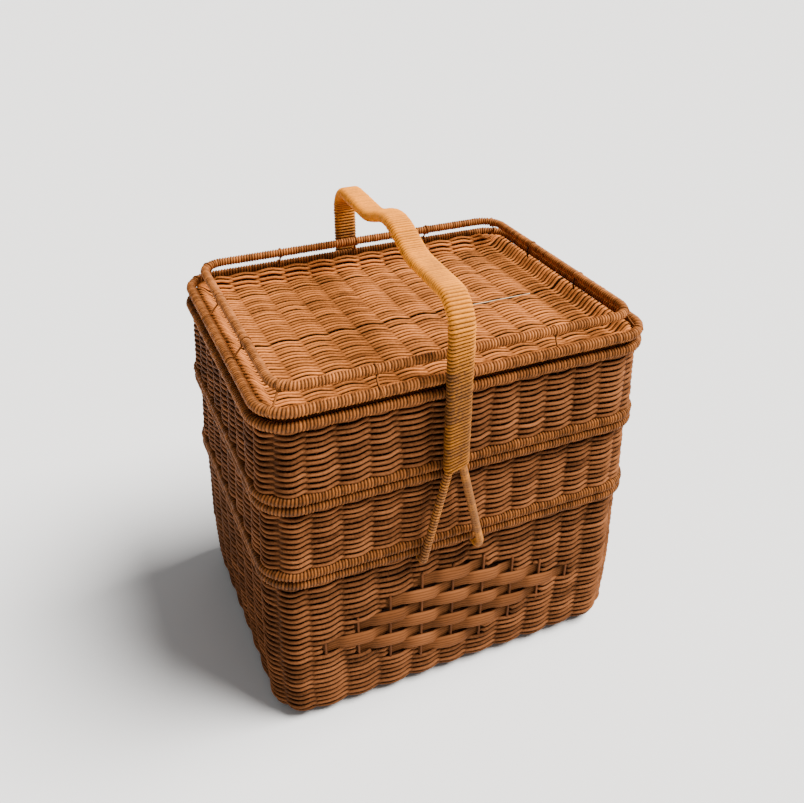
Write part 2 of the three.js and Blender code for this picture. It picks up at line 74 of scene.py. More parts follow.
# Cane: what soft patches, the strand's tone and fine grain add to the blend of its two colours
PATCH_SCALE = 28
PATCH_DETAIL = 3
PATCH_SHARE = 0.55
TONE_SHARE = 0.45
GRAIN_DETAIL = 4
GRAIN_SHARE = 0.6
GRAIN_START = -0.3
DARK_AT = 0.15
LIGHT_AT = 0.85
BUMP_DEPTH = 0.0002
GLOSS_TINT = (1.0, 0.72, 0.42, 1)

# Tubes: their sides, and the painted shade on the sides that face inwards or down, away from the light
STRAND_SIDES = 8
THIN_SIDES = 6
INNER_SHADE = 0.25
OUT_LIGHT = 0.75
UP_LIGHT = 0.66
LIGHT_START = 0.42
LIGHT_SPREAD = 1.3

# Shapes of the maps of wound pieces, and the fewest points of a strand's run
TURN_MAP_SHAPE = 1.5
WRAP_MAP_SHAPE = 2
MIN_RUN = 4

# Wound rails of the tiers, the lid and the gallery
RIM_CORNER = 36
LID_CORNER = 30
GALLERY_CORNER = 24
GALLERY_PITCH = 3
TURN_STEPS = 6
TURN_SIDES = 12
TURN_DEPTH = 1.3
TURN_POWER = 0.9
FOOT_UNEVEN = 0.2
TURN_DRIFT = 0.6
RAIL_PROUD = 0.25
# Painted shade in the grooves between turns
GROOVE_SHADE = 0.12
GROOVE_REACH = 1.05
RAIL_GROOVE_REACH = 0.85
# Painted light and shade on whole rails: darker low between the tiers, lighter on the lid's rail and the
# gallery
LOW_RAIL_PAINTED_SHADE = 0.78
LID_RIM_PAINTED_LIGHT = 1.2
GALLERY_PAINTED_LIGHT = 1.5

# Twined cane: two strands to a row, one outside and one inside at each stake
STRAND_OUT = 1.75
BOTTOM_STRAND_UP = 2.1
TRAY_STRAND_UP = 1.9
SWING = 3.4
SWING_POWER = 0.85
CROSS_RISE = 0.25
CROSS_POWER = 5
SAG = 0.45
SAG_GAIN = 1.2
BACK_DROP = 0.5
# Painted shade where a strand passes behind the stakes
BACK_SHADE_START = 0.45
BACK_SHADE_GAIN = 1.25
LEAD = 0.15
BAY_SAMPLES = 10
STAKE_R = 1.4
# Painted shade on the stakes
STAKE_SHADE = 0.6
STAKE_SAMPLES = 40
BOTTOM_STAKES = 38
TRAY_STAKES = 44
TRAY_STAKE_SHIFT = 0.5
BOTTOM_ROWS = 28
TRAY_ROWS = 12
CLIMB_SHARE = 0.16
TONES_PER_ROW = 6
PUSH_SPREAD = 0.09
RISE_SPREAD = 0.22
LEAN_SPREAD = 0.25
LEAN_PER_BAY = 14

# Flat strands that fill the dark between the rows, in painted shade, and a dark backing in painted shade
# behind the band
FILLER_OUT = -0.9
FILLER_T = 0.8
FILLER_COVER = 0.54
FILLER_SAMPLES = 4
FILLER_SHADE = 0.3
CORNER_GAIN = 2.5
CORNER_OUT = 0.9
CORNER_SHADE = 0.45
BAND_BACK_OUT = -3.6
BAND_BACK_SHADE = 0.5

# Sections of the walls: out from the rail's plan line, and up
SECTION_STEP = 0.5
EDGE_R = 20
EDGE_STEP = 6
EDGE_LIFT = 0.8
FOOT_OUT = 1.5
BELLY_OUT = 2.5
BELLY_Z = 85
TOP_OUT = -2
TRAY_FOOT_OUT = -0.5
TRAY_TOP_OUT = -3.5
SWELL = 3
MIDDLE_OUT = SWELL - SWING - STRAND_OUT

# Band of flat strips on the front, in line with the handle
HANDLE_X = -12
BAND_MID_Z = 100
BAND_ROW_H = 16.8
HALF_ROWS = 3
HALF_STAKES = 4
BAND_TRIM = 1.5
BAND_STAKE_R = 1.5
BAND_STAKE_OVER = 4
BAND_STAKE_SAMPLES = 12
STRIP_SPREAD = 0.05
STRIP_HIGH = -2
STRIP_T = 1.3
STRIP_CROWN = 1.6
STRIP_BACK_CROWN = 0.3
STRIP_EDGE_POWER = 6
STRIP_EDGE_MIN = 0.05
STRIP_RIBS = 5
STRIP_RIB_H = 0.42
STRIP_POINTS = 4 * STRIP_RIBS + 1
STRIP_SWING = 2.5
STRIP_FLANK = 0.5
STRIP_LIFT = 1.6
STRIP_END = 0.38
STRIP_TAPER = 0.4
STRIP_TUCK = 3.2
# Painted shade on a strip behind the stakes and in the valleys between its ribs
STRIP_BACK_SHADE = 0.6
STRIP_LINE_SHADE = 0.5
STRIP_LINE_GAIN = 1.5

# The wall's strands dive behind the band, and end a little way, in bays, inside its outline
DIVE_DEPTH = -2.6
DIVE_BAYS = 0.18
# Painted shade on the strands where they dive
DIVE_SHADE = 0.75
STRAND_END = 0.06
STAKE_END = -0.01

# Panels of straight rows: the lid and the floors
PANEL_ROW_PITCH = 6
PANEL_PUSH_SPREAD = 0.08
PANEL_PUSHES = 40
ROW_SPREAD = 0.25
PANEL_SAMPLES = 60
SLOPE_STEP = 0.5

# Lid
LID_STAKE_PITCH = 30.2
LID_STAKE_SHIFT = -3
LID_BACK_PITCH = 7
LID_BACK_W = 50
LID_SLOPE_PITCH = 4.9
LID_SEAM_Y = -9
LID_SEAM_W = 2.8
SEAM_GAP = 7.5
# Painted shade on the filler in the seam
SEAM_SHADE = 0.06
LID_SIDE_W = 15
LID_BORDER_IN = 5
LID_DISH_IN = 23
LID_CREST_Z = 379
LID_EDGE_LIFT = 1
LID_SWING = 2.4
LID_SAG = 0.6
LID_STRAND_OUT = 1.5
LID_STRAND_UP = 1.9
LID_STAKE_R = 1.2
LID_SAMPLES = 8
LID_FILLER_SAMPLES = 80
LID_WALK_STEP = 0.1
LID_END_W = 16
END_TURN_W = 5
END_APART = 0.15
END_THIN = 0.45
# Painted shade on the filler at the rows' ends
END_FILLER_SHADE = 0.1

# Pale strand in the gap beside the lid's seam
PALE_X = (72, 148)
PALE_Y = -5.5
PALE_OUT = 1.9
PALE_R = 0.55
PALE_SAMPLES = 24

# Skirt under the lid's rail, and its ties
SKIRT_IN = 7
SKIRT_ROWS = (378, 381.3, 384.6)
SKIRT_R = 1.75
SKIRT_RIPPLE = 0.3
SKIRT_SAMPLES = 400
TIE_PITCH = 15
TIE_SPREAD = 0.2
TIE_SLANT = 1.5
TIE_R = 0.8
TIE_OVER = 1
TIE_SHORT = 2
TIE_OUT = 1.2
TIE_SAMPLES = 5

# Floors
# One even painted shade for the floors
FLOOR_SHADE = 0.75
FLOOR_ROW_PITCH = 6.6
FLOOR_FIRST_ROW = 3
FLOOR_LAST_ROW = 2
FLOOR_STAKE_PITCH = 31
FLOOR_STAKE_SHARE = 0.7
FLOOR_WEAVE = {"swing": 2.1, "sag": 1.4, "half_up": 2.2, "samples": 6}
BASE_FLOOR_IN = 17
BASE_FLOOR_RISE = 4.2
BASE_FLOOR_OUT = 1.8
TRAY_FLOOR_IN = 8
TRAY_FLOOR_OUT = 1.6
TRAY_FLOOR_RISE = 4.1

# Gallery posts
POSTS = 14
POST_R = 0.9
POST_FLAT = 1.2
POST_BOW = 0.5
POST_SAMPLES = 8
POST_OVER = 1
LOOP_OFF = 0.3
LOOP_FLAT = 1.15
LOOP_TURNS = 1.1
LOOP_SPREAD = 1.8
LOOP_SAMPLES = 16
LASH_TURNS = 0.35
LASH_SPREAD = 0.6
TAIL_SIDE = 0.9
TAIL_LENGTH = 13
TAIL_BOW = 1.5
NEAREST_SAMPLES = 2000

# Handle: its legs, its arch with the hump, and its winding
SHOULDER_R = 29
SHOULDER_SAMPLES = 24
HUMP = 16.5
HUMP_HALF = 71
HUMP_SAMPLES = 40
HANDLE_ASKEW = 15
WRAP_HALF_T = 5.9
WRAP_PITCH = 3.45
WRAP_SIDES = 32
WRAP_DEPTH = 1.5
WRAP_UNEVEN = 0.12
WRAP_SLANT = 0.15
WRAP_SLANT_ENDS = (105, 165)
WRAP_END_SLANT = 0.2
WRAP_END_REACH = 22
WRAP_OVERRUN = 8
# Painted light and shade: the arch is lighter, with narrower dark grooves, as it is lit from above, and the
# legs darker, in shade, with wider ones. TONE_SPREAD is random tone.
LEG_GROOVE_REACH = 0.7
ARCH_GROOVE_REACH = 1.3
LEG_SHADED_TONE = -0.1
ARCH_LIT_TONE = 0.9
TONE_SPREAD = 0.3
LEG_TOP_Z = 390

# Feet of the handle's rods
ROD_SPACING = 7.3
ROD_SPLAY = 31
ROD_R = 4.1
ROD_CLEARANCE = 0.3
ROD_BEND_R = 10
ROD_BEND_STEP = 15
ROD_BELOW_WRAP = 0.6
ROD_INTO_WRAP = 8
ROD_PITCH = 3.3
ROD_PROUD = 0.2
BOUND_DEPTH = 0.75
SMOOTH_DEPTH = 0.2


def unit(v):
    return v / np.maximum(np.linalg.norm(v, axis=-1, keepdims=True), 1e-9)


def smooth(t):
    t = np.clip(t, 0, 1)
    return t * t * (3 - 2 * t)


def mix(first, second, share):
    """From first at share 0 to second at share 1."""
    return first + (second - first) * share


def distances_along(line):
    """Distance walked from a line's first point to each of its points."""
    return np.concatenate([[0], np.cumsum(np.linalg.norm(np.diff(line, axis=0), axis=1))])


def line_at(distances, known, line):
    """Points of a line at distances, where known are the distances of its own points."""
    return np.stack([np.interp(distances, known, column) for column in line.T], -1)


def at_height(flat, z):
    """Plan points or directions with their z."""
    return np.concatenate([flat, np.full((len(flat), 1), z)], -1)


def slow_tone(count, knots=8):
    """A tone that changes slowly along a strand."""
    levels = rng.random(knots)
    return np.interp(np.linspace(0, knots - 1, count), np.arange(knots), levels)


def runs_where(kept):
    """Stretches of points, as slices, along which kept holds, without the shortest ones."""
    edges = np.flatnonzero(np.diff(kept, prepend=False, append=False))
    return [slice(start, end) for start, end in edges.reshape(-1, 2) if end - start >= MIN_RUN]


def add_object(name, data):
    added = bpy.data.objects.new(name, data)
    bpy.context.scene.collection.objects.link(added)
    return added


def node_box(name):
    """Lowest and highest corner of a CAD node, in millimetres."""
    low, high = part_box(name)
    return np.array(low) / MM, np.array(high) / MM


class Plan:
    """A rounded rectangle in plan, walked once round from the middle of the front towards +X."""

    def __init__(self, half_x, half_y, corner):
        self.half_x = half_x
        self.half_y = half_y
        self.corner = corner
        self.run_x = half_x - corner
        self.run_y = half_y - corner
        self.arc = pi / 2 * corner
        self.length = 4 * (self.run_x + self.arc + self.run_y)

    def at(self, walked):
        """Points and outward directions at distances walked."""
        quarter = self.length / 4
        walked = np.mod(walked, self.length)
        turn = np.minimum(3, np.floor(walked / quarter)).astype(int)
        into = walked - turn * quarter
        t = np.where(turn % 2 == 0, into, quarter - into)
        side = np.where(turn < 2, 1, -1)
        face = np.where((turn == 0) | (turn == 3), 1, -1)
        angle = np.clip((t - self.run_x) / self.corner, 0, pi / 2)
        x = np.minimum(t, self.run_x) + self.corner * np.sin(angle)
        y = -self.run_y - self.corner * np.cos(angle) + np.maximum(0, t - self.run_x - self.arc)
        points = np.stack([side * x, face * y], -1)
        return points, np.stack([side * np.sin(angle), -face * np.cos(angle)], -1)

    def depth(self, x, y):
        """Distance inwards from the plan line."""
        over_x = np.abs(x) - self.run_x
        over_y = np.abs(y) - self.run_y
        outside = np.hypot(np.maximum(over_x, 0), np.maximum(over_y, 0))
        return self.corner - outside - np.minimum(np.maximum(over_x, over_y), 0)

    def nearest(self, point):
        """The distance walked at which the plan line is nearest to a point."""
        walked = np.linspace(0, self.length, NEAREST_SAMPLES, endpoint=False)
        points, _ = self.at(walked)
        return walked[np.argmin(np.linalg.norm(points - point, axis=1))]


class Rail:
    """A rail's plan line, height and radius, read from its CAD node."""

    def __init__(self, node, corner=RIM_CORNER):
        self.node = node
        low, high = node_box(node)
        self.radius = (high[2] - low[2]) / 2
        self.z = (high[2] + low[2]) / 2
        self.plan = Plan(high[0] - self.radius, high[1] - self.radius, corner)


bottom_rim = Rail("bottom_rim")
middle_foot = Rail("middle_foot_rail")
middle_rim = Rail("middle_rim")
upper_foot = Rail("upper_foot_rail")
upper_rim = Rail("upper_rim")
lid_rim = Rail("lid_rim", LID_CORNER)
gallery = Rail("gallery_rail", GALLERY_CORNER)

bay_width = bottom_rim.plan.length / BOTTOM_STAKES


# Meshes


def is_inside_out(points, quads):
    """Whether the signed volume inside the quads is negative."""
    corners = points[quads]
    first = np.cross(corners[:, 1], corners[:, 2])
    second = np.cross(corners[:, 2], corners[:, 3])
    return np.sum(corners[:, 0] * (first + second)) < 0


def oval_rings(centres, out, half_out, half_up, sides, closed=False):
    """Oval sections along a line of centres, half_out along out and half_up across it. Also each point's
    angle from out, and how far its direction rises."""
    if closed:
        along = np.roll(centres, -1, 0) - np.roll(centres, 1, 0)
    else:
        along = np.gradient(centres, axis=0)
    along = unit(along)
    out = unit(out - along * np.sum(out * along, -1, keepdims=True))
    up = np.cross(along, out)
    angle = np.arange(sides) / sides * tau
    half_out = np.broadcast_to(half_out, len(centres))[:, None, None]
    half_up = np.broadcast_to(half_up, len(centres))[:, None, None]
    points = centres[:, None] + out[:, None] * np.cos(angle)[:, None] * half_out
    points = points + up[:, None] * np.sin(angle)[:, None] * half_up
    return points, angle, out[:, 2:] * np.cos(angle) + up[:, 2:] * np.sin(angle)


class Skin:
    """Tubes of one number of sides, gathered into a mesh. Each point has a tone and a painted shade, and
    each ring its own place in the map."""

    def __init__(self, sides=STRAND_SIDES):
        self.sides = sides
        self.points = []
        self.faces = []
        self.cells = []
        self.tones = []
        self.shades = []
        self.count = 0
        self.rings = 0

    def lattice(self, points, tone, closed, shade):
        """Rings of points joined in order: closed joins the last to the first, or else both ends get caps."""
        rings, sides = points.shape[:2]
        bands = rings if closed else rings - 1
        i, j = np.indices((bands, sides))
        following = (i + 1) % rings
        beside = (j + 1) % sides
        quads = [i * sides + j, i * sides + beside, following * sides + beside, following * sides + j]
        quads = np.stack(quads, -1).reshape(-1, 4)
        cells = np.stack([self.rings + i, j], -1).reshape(-1, 2)
        if not closed:
            k = np.arange(sides // 2 - 1)
            cap = np.stack([k, sides - 1 - k, sides - 2 - k, k + 1], -1)
            last = cap[:, ::-1] + (rings - 1) * sides
            quads = np.concatenate([quads, cap, last])
            ends = np.repeat([[self.rings, sides], [self.rings + bands - 1, sides]], len(k), 0)
            cells = np.concatenate([cells, ends])
        if is_inside_out(points.reshape(-1, 3), quads):
            quads = quads[:, ::-1]
        self.points.append(points.reshape(-1, 3))
        self.faces.append(quads + self.count)
        self.cells.append(cells)
        self.tones.append(np.broadcast_to(tone, (rings, sides)).reshape(-1))
        self.shades.append(np.broadcast_to(shade, (rings, sides)).reshape(-1))
        self.count += rings * sides
        self.rings += bands
        self.sides = sides

    def tube(self, centres, out, half_out, half_up, closed=False, tone=0.5, shade=1):
        """A tube along a line of centres. Its sides that face away from out, or down, are darker: painted
        shade.
        """
        points, angle, rise = oval_rings(centres, out, half_out, half_up, self.sides, closed)
        # Painted shade: the sides that face inwards or down are darkened, as if lit from out and above
        facing = smooth((OUT_LIGHT * np.cos(angle) + UP_LIGHT * rise + LIGHT_START) / LIGHT_SPREAD)
        shade = np.broadcast_to(shade, len(centres))[:, None] * mix(INNER_SHADE, 1, facing)
        tone = np.broadcast_to(tone, len(centres))[:, None]
        self.lattice(points, tone, closed, shade)

    def finish(self, name, material, body, nodes=(), map_shape=4.5):
        """Writes the mesh and its map, and gives the piece to its body. The map holds the rings side by
        side in rows, and map_shape sets how many rows."""
        points = np.concatenate(self.points)
        faces = np.concatenate(self.faces)
        cells = np.concatenate(self.cells)
        mesh = bpy.data.meshes.new(name)
        mesh.vertices.add(len(points))
        mesh.vertices.foreach_set("co", (points * MM).astype(np.float32).ravel())
        mesh.loops.add(faces.size)
        mesh.loops.foreach_set("vertex_index", faces.astype(np.int32).ravel())
        mesh.polygons.add(len(faces))
        mesh.polygons.foreach_set("loop_start", np.arange(0, faces.size, 4, dtype=np.int32))
        mesh.polygons.foreach_set("use_smooth", np.ones(len(faces), bool))
        # The shade attribute holds painted shade, which the cane material multiplies into the colour
        for attribute, values in (("tone", self.tones), ("shade", self.shades)):
            layer = mesh.attributes.new(attribute, "FLOAT", "POINT")
            layer.data.foreach_set("value", np.concatenate(values).astype(np.float32))
        cell = self.sides + 1
        rows = max(1, round(2 * sqrt(self.rings / cell / map_shape)))
        columns = ceil(self.rings / rows)
        corners = np.array([[0, 0], [0, 1], [1, 1], [1, 0]])
        u = (cells[:, :1] % columns + corners[:, 0]) / columns
        v = (cells[:, :1] // columns + (cells[:, 1:] + corners[:, 1]) / cell) / rows
        layer = mesh.uv_layers.new(name="OFBake")
        layer.data.foreach_set("uv", np.stack([u, v], -1).astype(np.float32).ravel())
        mesh.update(calc_edges=True)
        mesh.validate()
        mesh.materials.append(material)
        piece = add_object(name, mesh)
        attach(piece, body)
        if nodes:
            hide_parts(*nodes)


# Materials


def set_sockets(node, sockets):
    """Gives a node's sockets their values, or links them where the value is another node's output."""
    for socket, value in sockets.items():
        if isinstance(value, bpy.types.NodeSocket):
            node.id_data.links.new(value, node.inputs[socket])
        else:
            node.inputs[socket].default_value = value


def add_node(tree, kind, output, sockets=None, **settings):
    """Adds a shader node with its settings and sockets, and returns one of its outputs."""
    node = tree.nodes.new(f"ShaderNode{kind}")
    for setting, value in settings.items():
        setattr(node, setting, value)
    set_sockets(node, sockets or {})
    return node.outputs[output]


def add_noise(tree, place, scale, detail):
    return add_node(tree, "TexNoise", "Fac", {"Vector": place, "Scale": scale, "Detail": detail})


def weighted_sum(tree, part, weight, rest):
    return add_node(tree, "Math", "Value", {0: part, 1: weight, 2: rest}, operation="MULTIPLY_ADD")


def cane(name, dark, light, specular, rough=(0.5, 0.65), grain_way=(1, 1, 1), grain_scale=420,
         bump=0.35, shaded=True):
    """Cane: a dark and a light colour, blended by soft patches, by the strand's tone and by fine grain.
    The painted shades of its mesh darken it, where it is shaded."""
    material = bpy.data.materials.new(name)
    material.use_nodes = True
    tree = material.node_tree
    place = add_node(tree, "TexCoord", "Object")
    patches = add_noise(tree, place, PATCH_SCALE, PATCH_DETAIL)
    stretched = add_node(tree, "Mapping", "Vector", {"Vector": place, "Scale": grain_way})
    grain = add_noise(tree, stretched, grain_scale, GRAIN_DETAIL)
    tone = add_node(tree, "Attribute", "Fac", attribute_name="tone")
    blend = weighted_sum(tree, grain, GRAIN_SHARE, GRAIN_START)
    blend = weighted_sum(tree, tone, TONE_SHARE, blend)
    blend = weighted_sum(tree, patches, PATCH_SHARE, blend)
    color = add_node(tree, "ValToRGB", "Color", {"Fac": blend})
    for stop, position, end in zip(color.node.color_ramp.elements, (DARK_AT, LIGHT_AT), (dark, light)):
        stop.position = position
        stop.color = (*end, 1)
    # Painted shade: the mesh's shade attribute darkens the base colour
    if shaded:
        shade = add_node(tree, "Attribute", "Fac", attribute_name="shade")
        color = add_node(tree, "VectorMath", "Vector", {0: color, "Scale": shade}, operation="SCALE")
    gloss = add_node(tree, "MapRange", "Result", {"Value": grain, "To Min": rough[0], "To Max": rough[1]})
    relief = add_node(tree, "Bump", "Normal", {"Height": grain, "Strength": bump, "Distance": BUMP_DEPTH})
    set_sockets(tree.nodes["Principled BSDF"], {
        "Base Color": color, "Roughness": gloss, "Normal": relief,
        "Specular IOR Level": specular, "Specular Tint": GLOSS_TINT
    })
    return material


tray_cane = cane("tray_cane", (0.064, 0.022, 0.008), (0.28, 0.100, 0.034), 0.02)
# A darker copy of the trays' cane for the bottom basket: painted shade
bottom_cane_shaded = cane("bottom_cane_shaded", (0.053, 0.019, 0.007), (0.245, 0.087, 0.030), 0.02)
rim_cane = cane("rim_cane", (0.11, 0.036, 0.009), (0.40, 0.133, 0.033), 0.07, (0.38, 0.5))
# Lighter than the walls' cane: painted light on the lid's top
lid_cane_lit = cane("lid_cane_lit", (0.155, 0.050, 0.013), (0.69, 0.219, 0.049), 0.03)
# The handle's dark colour is its legs' in shade and its light colour its arch's in light: painted shade and
# painted light
handle_cane = cane("handle_cane", (0.195, 0.078, 0.027), (0.98, 0.318, 0.008), 0.07, (0.42, 0.55))
# A dark cane that stands in for the shadow in the rods' grooves: painted shadow
rod_painted_shadow = cane("rod_painted_shadow", (0.05, 0.016, 0.004), (0.10, 0.034, 0.009), 0.05, shaded=False)
strip_cane = cane(
    "strip_cane", (0.115, 0.039, 0.012), (0.25, 0.087, 0.028), 0.03, (0.55, 0.7),
    grain_way=(0.04, 0.04, 1.6), grain_scale=900, bump=0.6
)
stake_cane = cane("stake_cane", (0.08, 0.027, 0.010), (0.20, 0.068, 0.025), 0.04)
pale_cane = cane("pale_cane", (0.55, 0.36, 0.22), (0.85, 0.62, 0.42), 0.1)


# Woven walls


def along_section(corners):
    """A section's curve through [out, height] corners, as a function of the distance along it."""
    corners = np.array(corners, float)
    lengths = distances_along(corners)
    fine = np.arange(0, lengths[-1], SECTION_STEP)
    curve = line_at(fine, lengths, corners)
    slope = unit(np.gradient(curve, axis=0))

    def at(distance):
        return line_at(distance, fine, curve), unit(line_at(distance, fine, slope))

    return at, lengths[-1]


def bottom_wall_section():
    """The middle of the strands, from the rounded lower edge to the underside of the rim."""
    angle = np.radians(np.arange(EDGE_STEP, 91, EDGE_STEP))
    radius = EDGE_R - SWING - STRAND_OUT + SWELL * np.sin(angle)
    out = FOOT_OUT - EDGE_R + radius * np.sin(angle)
    edge = np.stack([out, EDGE_R + EDGE_LIFT - radius * np.cos(angle)], -1)
    top = [TOP_OUT + MIDDLE_OUT, bottom_rim.z - bottom_rim.radius]
    return [*edge, [BELLY_OUT + MIDDLE_OUT, BELLY_Z], top]


def add_stake(skin, line, out, radius):
    # Stakes get painted shade
    skin.tube(line, out, radius, radius, tone=rng.random(), shade=STAKE_SHADE)


def add_filler(skin, line, out, row_gap, shade):
    # Fillers get painted shade
    skin.tube(line, out, FILLER_T, FILLER_COVER * row_gap, tone=0.2, shade=shade)


def climb(share):
    """Share of a row that the spiral has climbed: it climbs in the middle of the back."""
    return smooth((share - 0.5) / CLIMB_SHARE + 0.5)


def twine(phase, swing, sag, pitch):
    """A twined strand's way out, rise and painted shade: in front of a stake from phase 0 to 1, behind the
    next to 2. In front it starts a quarter of a row low, sags and ends a quarter high. Behind it lies between
    rows, darker with painted shade."""
    wave = np.sin(pi * (phase - LEAD))
    out = swing * np.sign(wave) * np.abs(wave) ** SWING_POWER
    rise = -CROSS_RISE * pitch * np.cos(pi * phase) ** CROSS_POWER
    rise = rise - sag * smooth(SAG_GAIN * wave) - BACK_DROP * pitch * smooth(-wave)
    # Painted shade: darker where the strand passes behind a stake
    behind = smooth(BACK_SHADE_START - BACK_SHADE_GAIN * wave)
    return out, rise, mix(1, INNER_SHADE, behind)


def in_band(points):
    """How far, in bays, points of the front lie inside the band of flat strips."""
    row = np.round((np.abs(points[:, 2] - BAND_MID_Z) + BAND_TRIM) / BAND_ROW_H)
    inside = HALF_STAKES - row - np.abs(points[:, 0] - HANDLE_X) / bay_width
    front = points[:, 1] < 0
    return np.where(front & (row <= HALF_ROWS), inside, -HALF_STAKES)


def dived(points):
    """How far strands have dived behind the band: from 0 outside it to 1 at its edge and inside."""
    return smooth((in_band(points) + DIVE_BAYS) / DIVE_BAYS)


class Wall:
    """A twined wall: a spiral pair of strands round upright stakes, between the plans of two rails. Its
    first stake stands shift bays beside the handle."""

    def __init__(self, section, low_rail, high_rail, stakes, shift, rows, strand_up):
        self.strand_up = strand_up
        self.at_section, self.height = along_section(section)
        self.low = low_rail
        self.high = high_rail
        self.stakes = stakes
        self.first_share = HANDLE_X / low_rail.plan.length + shift / stakes
        self.rows = rows
        self.pitch = (self.height - 2 * strand_up) / (rows - 1)
        bays = (rows + 1, stakes)
        self.push = rng.normal(1, PUSH_SPREAD, bays)
        self.rise = rng.normal(0, RISE_SPREAD, bays)
        self.lean = np.cumsum(rng.normal(0, LEAN_SPREAD, bays), 0)

    def place(self, walked_share, distance):
        """Points, outward and upward directions on the wall's middle surface."""
        place, way = self.at_section(distance)
        # The bottom wall has one rail for both, so its blend doesn't matter
        rail_gap = max(1, self.high.z - self.low.z)
        blend = np.clip((place[:, 1:] - self.low.z) / rail_gap, 0, 1)
        low_points, low_out = self.low.plan.at(walked_share * self.low.plan.length)
        high_points, high_out = self.high.plan.at(walked_share * self.high.plan.length)
        flat = mix(low_points, high_points, blend)
        out = unit(mix(low_out, high_out, blend))
        centre = at_height(flat + out * place[:, :1], place[:, 1:])
        return centre, at_height(out * way[:, 1:], -way[:, :1]), at_height(out * way[:, :1], way[:, 1:])

    def spiral(self, step):
        """Bays walked, beginning in the middle of the back, and rows climbed."""
        bays = np.arange(self.rows * self.stakes * step + 1) / step + 0.5 * self.stakes
        turn = np.floor(bays / self.stakes)
        lap = turn + climb(bays / self.stakes - turn) - 1
        return bays, np.clip(lap, 0, self.rows - 1)

    def strand(self, which):
        """One of the two strands, from the bottom up: points, outward directions and painted shades."""
        bays, lap = self.spiral(BAY_SAMPLES)
        phase = np.mod(bays + 0.5 + which, 2)
        row = np.floor(bays / self.stakes).astype(int)
        stake = np.mod(np.floor(bays + 0.5), self.stakes).astype(int)
        beside = np.mod(stake + 1, self.stakes)
        into_bay = np.mod(bays + 0.5, 1)
        lean = mix(self.lean[row, stake], self.lean[row, beside], into_bay)
        out, rise, shade = twine(phase, SWING, SAG, self.pitch)
        out = np.where(out > 0, out * self.push[row, stake], out)
        rise = rise + self.rise[row, stake] * np.sin(pi * into_bay)
        walked = self.first_share + (bays + lean / LEAN_PER_BAY) / self.stakes
        centre, outward, up = self.place(walked, self.strand_up + lap * self.pitch)
        dive = dived(centre)
        out = mix(out, DIVE_DEPTH, dive)
        points = centre + outward * out[:, None] + up * rise[:, None]
        # Painted shade where the strand dives behind the band
        return points, outward, shade * mix(1, DIVE_SHADE, dive)

    def add_strand(self, skin, which):
        """Adds a strand, without the stretches that the band hides."""
        points, outward, shade = self.strand(which)
        tone = slow_tone(len(points), self.rows * TONES_PER_ROW)
        for run in runs_where(in_band(points) < STRAND_END):
            skin.tube(points[run], outward[run], STRAND_OUT, self.strand_up, tone=tone[run], shade=shade[run])

    def filler(self, skin):
        """A flat strand between the rows, in painted shade: further out at the corners, further in behind the
        band.
        """
        bays, lap = self.spiral(FILLER_SAMPLES)
        distance = self.strand_up + (lap + 0.5) * self.pitch
        centre, outward, _ = self.place(self.first_share + bays / self.stakes, distance)
        behind = dived(centre)
        corner = smooth(CORNER_GAIN * np.abs(outward[:, 0] * outward[:, 1]))
        out = mix(mix(FILLER_OUT, CORNER_OUT, corner), BAND_BACK_OUT, behind)
        # Painted shade: darker between the rows, at the corners and behind the band
        shade = mix(mix(FILLER_SHADE, CORNER_SHADE, corner), BAND_BACK_SHADE, behind)
        add_filler(skin, centre + outward * out[:, None], outward, self.pitch, shade)

    def finish_stakes(self, name, body):
        """The stakes, without the stretches that the band hides, and the filler."""
        skin = Skin(THIN_SIDES)
        distance = np.linspace(0, self.height, STAKE_SAMPLES)
        for number in range(self.stakes):
            walked = np.full(len(distance), self.first_share + number / self.stakes)
            centre, outward, _ = self.place(walked, distance)
            for run in runs_where(in_band(centre) < STAKE_END):
                add_stake(skin, centre[run], outward[run], STAKE_R)
        self.filler(skin)
        skin.finish(name, stake_cane, body)


def build_bottom_wall():
    section = bottom_wall_section()
    wall = Wall(section, bottom_rim, bottom_rim, BOTTOM_STAKES, 0, BOTTOM_ROWS, BOTTOM_STRAND_UP)
    for which, letter in enumerate("ab"):
        skin = Skin()
        wall.add_strand(skin, which)
        nodes = ["bottom_wall"] if which == 0 else []
        skin.finish(f"bottom_weave_{letter}", bottom_cane_shaded, BASKET, nodes)
    wall.finish_stakes("bottom_stakes", BASKET)


def build_tray_wall(name, foot, rim):
    low = [TRAY_FOOT_OUT + MIDDLE_OUT, foot.z + foot.radius]
    high = [TRAY_TOP_OUT + MIDDLE_OUT, rim.z - rim.radius]
    wall = Wall([low, high], foot, rim, TRAY_STAKES, TRAY_STAKE_SHIFT, TRAY_ROWS, TRAY_STRAND_UP)
    skin = Skin()
    for which in range(2):
        wall.add_strand(skin, which)
    skin.finish(f"{name}_weave", tray_cane, f"{name}_tray", [f"{name}_wall"])
    wall.finish_stakes(f"{name}_stakes", f"{name}_tray")


# Rails


def turn_profile(part):
    """A turn's height over its width, from 0 in one groove to 0 in the next."""
    return np.sin(pi * part) ** TURN_POWER


def groove_shade(bead, deepest=GROOVE_SHADE, reach=GROOVE_REACH):
    """Painted shade in the grooves between turns: the smaller the reach, the wider it is."""
    return mix(deepest, 1, smooth(reach * bead))


